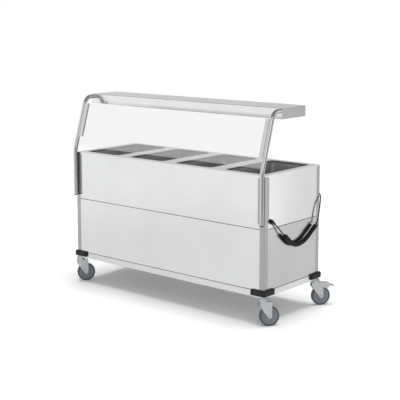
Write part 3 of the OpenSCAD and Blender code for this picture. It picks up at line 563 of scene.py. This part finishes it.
def glyph(text):
    """A printed number or sign as a flat mesh in its own plane."""
    words = bpy.data.curves.new("glyph", "FONT")
    words.body = text
    words.size = GLYPH_SIZE * MM
    words.align_x, words.align_y = "CENTER", "CENTER"
    words.extrude = GLYPH_HALF * MM
    words.resolution_u = 3
    holder = bpy.data.objects.new("glyph", words)
    bpy.context.scene.collection.objects.link(holder)
    bpy.context.view_layer.update()
    data = bpy.data.meshes.new_from_object(holder.evaluated_get(bpy.context.evaluated_depsgraph_get()))
    part = bmesh.new()
    part.from_mesh(data)
    bpy.data.objects.remove(holder)
    bpy.data.curves.remove(words)
    bpy.data.meshes.remove(data)
    return part


# Operators


class TROLLEY_OT_stage(bpy.types.Operator):
    """Camera, floor, surroundings and lamps"""

    bl_idname = "trolley.stage"
    bl_label = "Stage"

    # What mirrors see round the horizon: degrees from +X towards +Y, and brightness
    TENT = [(-180, 1.0), (-138, 1.0), (-105, 1.05), (-75, 0.5), (-45, 0.42), (-15, 0.35), (25, 0.35),
            (40, 1.15), (50, 1.1), (65, 0.55), (85, 0.55), (120, 0.62), (140, 0.7), (165, 0.9), (180, 1.0)]
    # What they see overhead, and the rise of a ray, as Z, over which it takes the tent's place
    OVERHEAD, OVERHEAD_FROM, OVERHEAD_TO = 0.3, 0.4, 0.6
    # Light of the surroundings on matt surfaces
    FILL = 0.45
    # Camera, fitted to the photograph: its focal length in pixels of a picture 400 wide, its place and tilt
    FOCAL, PICTURE, SENSOR_MM = 985.24, 400, 36
    CAMERA_AT, CAMERA_DOWN, CAMERA_TURN, CAMERA_SHIFT = (4.2508, -5.0093, 1.9147), 7.49, 0.6963, -0.15
    # Half the floor's side and the distances over which it fades, in metres, its paint and its own light
    FLOOR_HALF, FADE_FROM, FADE_TO = 4.5, 2.0, 4.2
    FLOOR_PAINT, FLOOR_SEEN, FLOOR_LIFT = "e2e2e2", "ffffff", 0.05

    def execute(self, context):
        scene = context.scene
        scene.view_settings.view_transform = "Standard"
        camera = bpy.data.objects.new("camera", bpy.data.cameras.new("camera"))
        scene.collection.objects.link(camera)
        camera.location = self.CAMERA_AT
        camera.rotation_euler = (math.radians(90 - self.CAMERA_DOWN), 0, self.CAMERA_TURN)
        camera.data.sensor_width = self.SENSOR_MM
        camera.data.lens = self.FOCAL / self.PICTURE * self.SENSOR_MM
        camera.data.shift_y = self.CAMERA_SHIFT
        scene.camera = camera
        self.floor(scene)
        self.surroundings(scene)
        self.lamp(scene, "overhead_panel", "SUN", (0.1, 0.15, 3.2), (0, 0, 0), energy=1.95,
                  angle=math.radians(34))
        self.lamp(scene, "front_softbox", "AREA", (3.4, -3.0, 2.6), (0, 0, 0.6), energy=18, size=2.0)
        self.lamp(scene, "end_card", "AREA", (2.45, 1.35, 0.5), (0.82, -0.3, 0.75), energy=0.5, size=0.9)
        return {"FINISHED"}

    def lamp(self, scene, name, kind, place, target, **settings):
        """One lamp that points at a target, and that the camera doesn't see."""
        data = bpy.data.lights.new(name, kind)
        for key, value in settings.items():
            setattr(data, key, value)
        lamp = bpy.data.objects.new(name, data)
        scene.collection.objects.link(lamp)
        lamp.location = place
        lamp.rotation_euler = (Vector(target) - Vector(place)).to_track_quat("-Z", "Y").to_euler()
        lamp.visible_camera = False
        lamp.visible_glossy = kind == "AREA"

    def floor(self, scene):
        """White floor under the trolley, which opens into the white surroundings further out."""
        shape = bmesh.new()
        bmesh.ops.create_grid(shape, x_segments=1, y_segments=1, size=self.FLOOR_HALF)
        data = bpy.data.meshes.new("floor")
        shape.to_mesh(data)
        shape.free()
        floor = bpy.data.objects.new("floor", data)
        scene.collection.objects.link(floor)
        material = bpy.data.materials.new("matt_white_floor")
        material.use_nodes = True
        tree = material.node_tree
        tree.nodes.clear()
        path = add(tree, "LightPath")
        seen = add(tree, "Math", {"operation": "MAXIMUM"},
                   {0: path.outputs["Is Camera Ray"], 1: path.outputs["Is Transmission Ray"]}).outputs[0]
        shown = add(tree, "Math", {"operation": "MAXIMUM"},
                    {0: seen, 1: path.outputs["Is Glossy Ray"]}).outputs[0]
        white = add(tree, "Mix", {"data_type": "RGBA"},
                    {"Factor": seen, "A": linear(self.FLOOR_PAINT), "B": linear(self.FLOOR_SEEN)})
        paint = add(tree, "BsdfDiffuse", inputs={"Color": white.outputs["Result"]})
        glow = add(tree, "Math", {"operation": "MULTIPLY"}, {0: shown, 1: self.FLOOR_LIFT})
        lift = add(tree, "Emission", inputs={"Color": linear("ffffff"), "Strength": glow.outputs[0]})
        both = add(tree, "AddShader", inputs={0: paint.outputs[0], 1: lift.outputs[0]})
        reach = add(tree, "VectorMath", {"operation": "LENGTH"},
                    {0: add(tree, "TexCoord").outputs["Object"]}).outputs["Value"]
        fade = add(tree, "MapRange", {"interpolation_type": "SMOOTHSTEP"},
                   {"Value": reach, "From Min": self.FADE_FROM, "From Max": self.FADE_TO}).outputs["Result"]
        open_air = add(tree, "BsdfTransparent")
        surface = add(tree, "MixShader", inputs={0: fade, 1: both.outputs[0], 2: open_air.outputs[0]})
        add(tree, "OutputMaterial", inputs={"Surface": surface.outputs[0]})
        data.materials.append(material)

    def surroundings(self, scene):
        """White seen directly, and for mirrors a soft tent with greyer stretches."""
        world = bpy.data.worlds.new("studio_tent")
        scene.world = world
        world.use_nodes = True
        tree = world.node_tree
        tree.nodes.clear()
        path = add(tree, "LightPath")
        part = add(tree, "SeparateXYZ", inputs={0: add(tree, "TexCoord").outputs["Generated"]})
        bearing = add(tree, "Math", {"operation": "ARCTAN2"}, {0: part.outputs["Y"], 1: part.outputs["X"]})
        share = add(tree, "MapRange",
                    inputs={"Value": bearing.outputs[0], "From Min": -math.pi, "From Max": math.pi})
        tent = add(tree, "ValToRGB", inputs={"Fac": share.outputs["Result"]})
        stops = tent.color_ramp.elements
        for k, (degrees, bright) in enumerate(self.TENT):
            place = (degrees + 180) / 360
            stop = stops[0] if k == 0 else stops[-1] if k == len(self.TENT) - 1 else stops.new(place)
            stop.position, stop.color = place, grey(bright)
        overhead = add(tree, "MapRange", inputs={"Value": part.outputs["Z"], "From Min": self.OVERHEAD_FROM,
                                                 "From Max": self.OVERHEAD_TO})
        dome = add(tree, "Mix", {"data_type": "RGBA"}, {"Factor": overhead.outputs["Result"],
                                                        "A": tent.outputs["Color"], "B": grey(self.OVERHEAD)})
        seen = add(tree, "Math", {"operation": "MAXIMUM"},
                   {0: path.outputs["Is Camera Ray"], 1: path.outputs["Is Transmission Ray"]})
        mirrored = add(tree, "Mix", {"data_type": "RGBA"},
                       {"Factor": path.outputs["Is Glossy Ray"], "A": grey(self.FILL),
                        "B": dome.outputs["Result"]})
        shown = add(tree, "Mix", {"data_type": "RGBA"},
                    {"Factor": seen.outputs[0], "A": mirrored.outputs["Result"], "B": grey(1)})
        light = add(tree, "Background", inputs={"Color": shown.outputs["Result"], "Strength": 1.0})
        add(tree, "OutputWorld", inputs={"Surface": light.outputs[0]})


class TROLLEY_OT_mains_cord(bpy.types.Operator):
    """The cord from its outlet to its plug, in one line with its curls"""

    bl_idname = "trolley.mains_cord"
    bl_label = "Mains cord"

    def execute(self, context):
        settings = context.scene.trolley_cord
        curly = curly_points(settings)
        lead = smooth_route([Vector(p) for p in LEAD], 3)
        tail = smooth_route([curly[-1]] + [Vector(p) for p in TAIL], 3)
        route = [CORNER + p * MM for p in lead[:-1] + curly + tail[1:]]
        data = bpy.data.curves.new("mains_cord", "CURVE")
        data.dimensions = "3D"
        data.bevel_depth = settings.diameter / 2
        data.bevel_resolution = 3
        data.use_fill_caps = True
        spline = data.splines.new("POLY")
        spline.points.add(len(route) - 1)
        for point, place in zip(spline.points, route):
            point.co = (*place, 1)
        spline.use_smooth = True
        data.materials.append(finish("cord"))
        cord = bpy.data.objects.new("mains_cord", data)
        context.scene.collection.objects.link(cord)
        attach(cord, "trolley")
        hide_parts("cord_leads", "cord_coil")
        return {"FINISHED"}


class TROLLEY_OT_cord_fittings(bpy.types.Operator):
    """Cap nut and ribs of the cord's outlet, and the grip rings of its plug"""

    bl_idname = "trolley.cord_fittings"
    bl_label = "Cord fittings"

    def execute(self, context):
        outlet, grip = bmesh.new(), bmesh.new()
        put(outlet, ring(OUTLET_NUT, 6), at(HALF_LEN, OUTLET_Y, OUTLET_Z, "Y", 90))
        boot = at(HALF_LEN + BOOT_OUT, OUTLET_Y, OUTLET_Z)
        boot = boot @ Vector(BOOT_DIR).to_track_quat("Z", "X").to_matrix().to_4x4()
        for run in row(*BOOT_RIBS):
            rib = ring(crowned(BOOT_R - BOOT_TAPER * run / BOOT_LEN, *BOOT_RIB), 24)
            put(outlet, rib, boot @ at(0, 0, run))
        for run in row(*GRIP_BANDS):
            band = ring(crowned(PLUG_R, *GRIP_BAND), 48)
            put(grip, band, at(PLUG_X, HALF_DEPTH + run, PLUG_Z, "X", 90))
        for k, run in enumerate(row(*NECK_RIBS)):
            rib = ring(crowned(NECK_R + NECK_GROWTH * k, *NECK_RIB), 24)
            put(grip, rib, at(NECK_X - run, HALF_DEPTH + NECK_Y, PLUG_Z, "Y", 90))
        mesh_piece("outlet_nut_and_ribs", "plastic", "trolley", outlet, 30)
        mesh_piece("plug_grip_rings", "plastic", "trolley", grip, 30)
        return {"FINISHED"}


class TROLLEY_OT_screws(bpy.types.Operator):
    """Flat socket screws of the guard's tubes, and the capped screws of the corner bumpers"""

    bl_idname = "trolley.screws"
    bl_label = "Screws"

    def execute(self, context):
        arms, bumpers = bmesh.new(), bmesh.new()
        long_in, deep_in = HALF_LEN - BUMPER_SCREW_IN, HALF_DEPTH - BUMPER_SCREW_IN
        for side in (-1, 1):
            for z in ARM_SCREW_ZS:
                put(arms, turned(ARM_SCREW), at(side * ARM_X, ARM_Y - ARM_R, z, "X", 90))
            for end in (-1, 1):
                put(bumpers, turned(BUMPER_CAP, 24),
                    at(side * long_in, end * (HALF_DEPTH + BUMPER_OUT), BUMPER_Z, "X", -90 * end))
                put(bumpers, turned(BUMPER_CAP, 24),
                    at(side * (HALF_LEN + BUMPER_OUT), end * deep_in, BUMPER_Z, "Y", 90 * side))
        mesh_piece("arm_screws", "zinc", "trolley", arms)
        mesh_piece("bumper_screw_caps", "plastic", "trolley", bumpers)
        return {"FINISHED"}


class TROLLEY_OT_seals(bpy.types.Operator):
    """Black rubber strips in the seams between the panels and above the base frame, each with a flat bead:
    painted shade of the gaps
    """

    bl_idname = "trolley.seals"
    bl_label = "Seam shade"

    def execute(self, context):
        shade_strips = bmesh.new()
        # Height of a strip and of its bead, and the bead's thickness and distance from the face, in mm
        strip_h, bead_h, bead_t, bead_out = 2.3, 3.6, 0.6, 0.35
        for z, deep, inset in SEAMS:
            middle = inset + deep / 2
            put(shade_strips, slab((SHADE_STRIP_LEN, deep, strip_h), SHADE_STRIP_EDGE), at(0, middle - HALF_DEPTH, z))
            put(shade_strips, slab((SHADE_STRIP_LEN, bead_t, bead_h), BEAD_EDGE), at(0, -bead_out - HALF_DEPTH, z))
            for side in (-1, 1):
                put(shade_strips, slab((deep, SHADE_STRIP_WIDE, strip_h), SHADE_STRIP_EDGE), at(side * (HALF_LEN - middle), 0, z))
                put(shade_strips, slab((bead_t, SHADE_STRIP_WIDE, bead_h), BEAD_EDGE),
                    at(side * (HALF_LEN + bead_out), 0, z))
        # The strips are painted shade: black rubber put where the seams show only the shade of their gaps
        mesh_piece("seam_shade_strips", "bumper", "trolley", shade_strips)
        return {"FINISHED"}


class TROLLEY_OT_wheel_details(bpy.types.Operator):
    """Dished discs on both sides of the wheels, and the ribs on the brake pedals' treads"""

    bl_idname = "trolley.wheel_details"
    bl_label = "Wheel details"

    def execute(self, context):
        for corner, (x, y) in CASTERS.items():
            caster = at(x, y, 0, "Z", CASTER_TURN)
            discs = bmesh.new()
            for side in (-1, 1):
                place = caster @ at(TRAIL, 0, WHEEL_R, "X", -90 * side)
                put(discs, ring(WHEEL_DISC, 48), place)
                for k in range(DISC_RIBS):
                    rib_turn = Matrix.Rotation(2 * math.pi / DISC_RIBS * k, 4, "Z")
                    put(discs, slab(*DISC_RIB), place @ rib_turn @ at(DISC_RIB_R, 0, DISC_RIB_H))
            mesh_piece("wheel_discs_" + corner, "core", "wheel_" + corner, discs, 30)
        for corner in REAR_CORNERS:
            caster = at(*CASTERS[corner], 0, "Z", CASTER_TURN)
            ribs = bmesh.new()
            for run in row(*TREAD_RIBS):
                put(ribs, slab(*TREAD_RIB),
                    caster @ at(TREAD_X + run, 0, TREAD_Z - run * TREAD_SLOPE, "Y", TREAD_DEGREES))
            mesh_piece("pedal_ribs_" + corner, "zinc", "brake_" + corner, ribs)
        return {"FINISHED"}


class TROLLEY_OT_control_marks(bpy.types.Operator):
    """Pointers on the knobs, the printed scales round them, and the pilot lamps' rings"""

    bl_idname = "trolley.control_marks"
    bl_label = "Control marks"

    def execute(self, context):
        prints, rings = bmesh.new(), bmesh.new()
        # Turns a flat print so that it stands up and faces the rear
        outwards = Matrix.Rotation(math.pi, 4, "Z") @ Matrix.Rotation(math.pi / 2, 4, "X")
        face_y = HALF_DEPTH + PRINT_OUT
        for k, x in enumerate(WELL_XS):
            pointer = bmesh.new()
            put(pointer, slab(*POINTER), at(x, HALF_DEPTH + POINTER_OUT, KNOB_Z + POINTER_UP))
            mesh_piece("knob_pointer_%d" % (k + 1), "ink", "thermostat_knob_%d" % (k + 1), pointer)
            for step in range(DIAL_STEPS):
                # The scale runs clockwise, as seen from the rear, from the pointer's place at rest
                angle = math.radians(step * DIAL_DEGREES)
                place = at(x, face_y, KNOB_Z) @ Matrix.Rotation(angle, 4, (0, -1, 0)) @ at(0, 0, MARK_R)
                put(prints, slab(FINE_MARK if step % 2 else BOLD_MARK), place)
                if step % 2 == 0:
                    place = at(x - NUMBER_R * math.sin(angle), face_y, KNOB_Z + NUMBER_R * math.cos(angle))
                    put(prints, glyph(str(step)), place @ outwards)
            put(rings, ring(PILOT_RING, 32), at(x + PILOT_STEP, HALF_DEPTH, KNOB_Z, "X", -90))
        for sign, up in SIGNS:
            put(prints, glyph(sign), at(SWITCH_X, face_y, KNOB_Z + up) @ outwards)
        mesh_piece("knob_scales", "black_ink", "trolley", prints)
        mesh_piece("pilot_rings", "zinc", "trolley", rings)
        return {"FINISHED"}


class TROLLEY_OT_finishes(bpy.types.Operator):
    """Gives every part of the frame its finish"""

    bl_idname = "trolley.finishes"
    bl_label = "Finishes"

    def execute(self, context):
        for key, names in WEARS.items():
            for name in names:
                part = nodes[name]
                part.data.materials.clear()
                part.data.materials.append(finish(key))
        return {"FINISHED"}


class TROLLEY_PT_pieces(bpy.types.Panel):
    """Lists the pieces of the trolley"""

    bl_label = "Serving trolley"
    bl_space_type = "VIEW_3D"
    bl_region_type = "UI"
    bl_category = "Trolley"

    def draw(self, context):
        for operator in OPERATORS:
            self.layout.operator(operator.bl_idname)
        for group, settings in ((context.scene.trolley_cord, CordSettings),
                                (context.scene.trolley_finish, FinishSettings)):
            for key in settings.__annotations__:
                self.layout.prop(group, key)


OPERATORS = [TROLLEY_OT_stage, TROLLEY_OT_mains_cord, TROLLEY_OT_finishes, TROLLEY_OT_cord_fittings,
             TROLLEY_OT_screws, TROLLEY_OT_seals, TROLLEY_OT_wheel_details, TROLLEY_OT_control_marks]
CLASSES = [CordSettings, FinishSettings, *OPERATORS, TROLLEY_PT_pieces]


def register():
    """Adds the classes and their settings."""
    for item in CLASSES:
        bpy.utils.register_class(item)
    bpy.types.Scene.trolley_cord = bpy.props.PointerProperty(type=CordSettings)
    bpy.types.Scene.trolley_finish = bpy.props.PointerProperty(type=FinishSettings)


def unregister():
    """Takes them away again."""
    del bpy.types.Scene.trolley_finish
    del bpy.types.Scene.trolley_cord
    for item in reversed(CLASSES):
        bpy.utils.unregister_class(item)


def main():
    """Builds the whole trolley."""
    register()
    for operator in OPERATORS:
        group, name = operator.bl_idname.split(".")
        getattr(getattr(bpy.ops, group), name)()


if __name__ == "__main__":
    main()
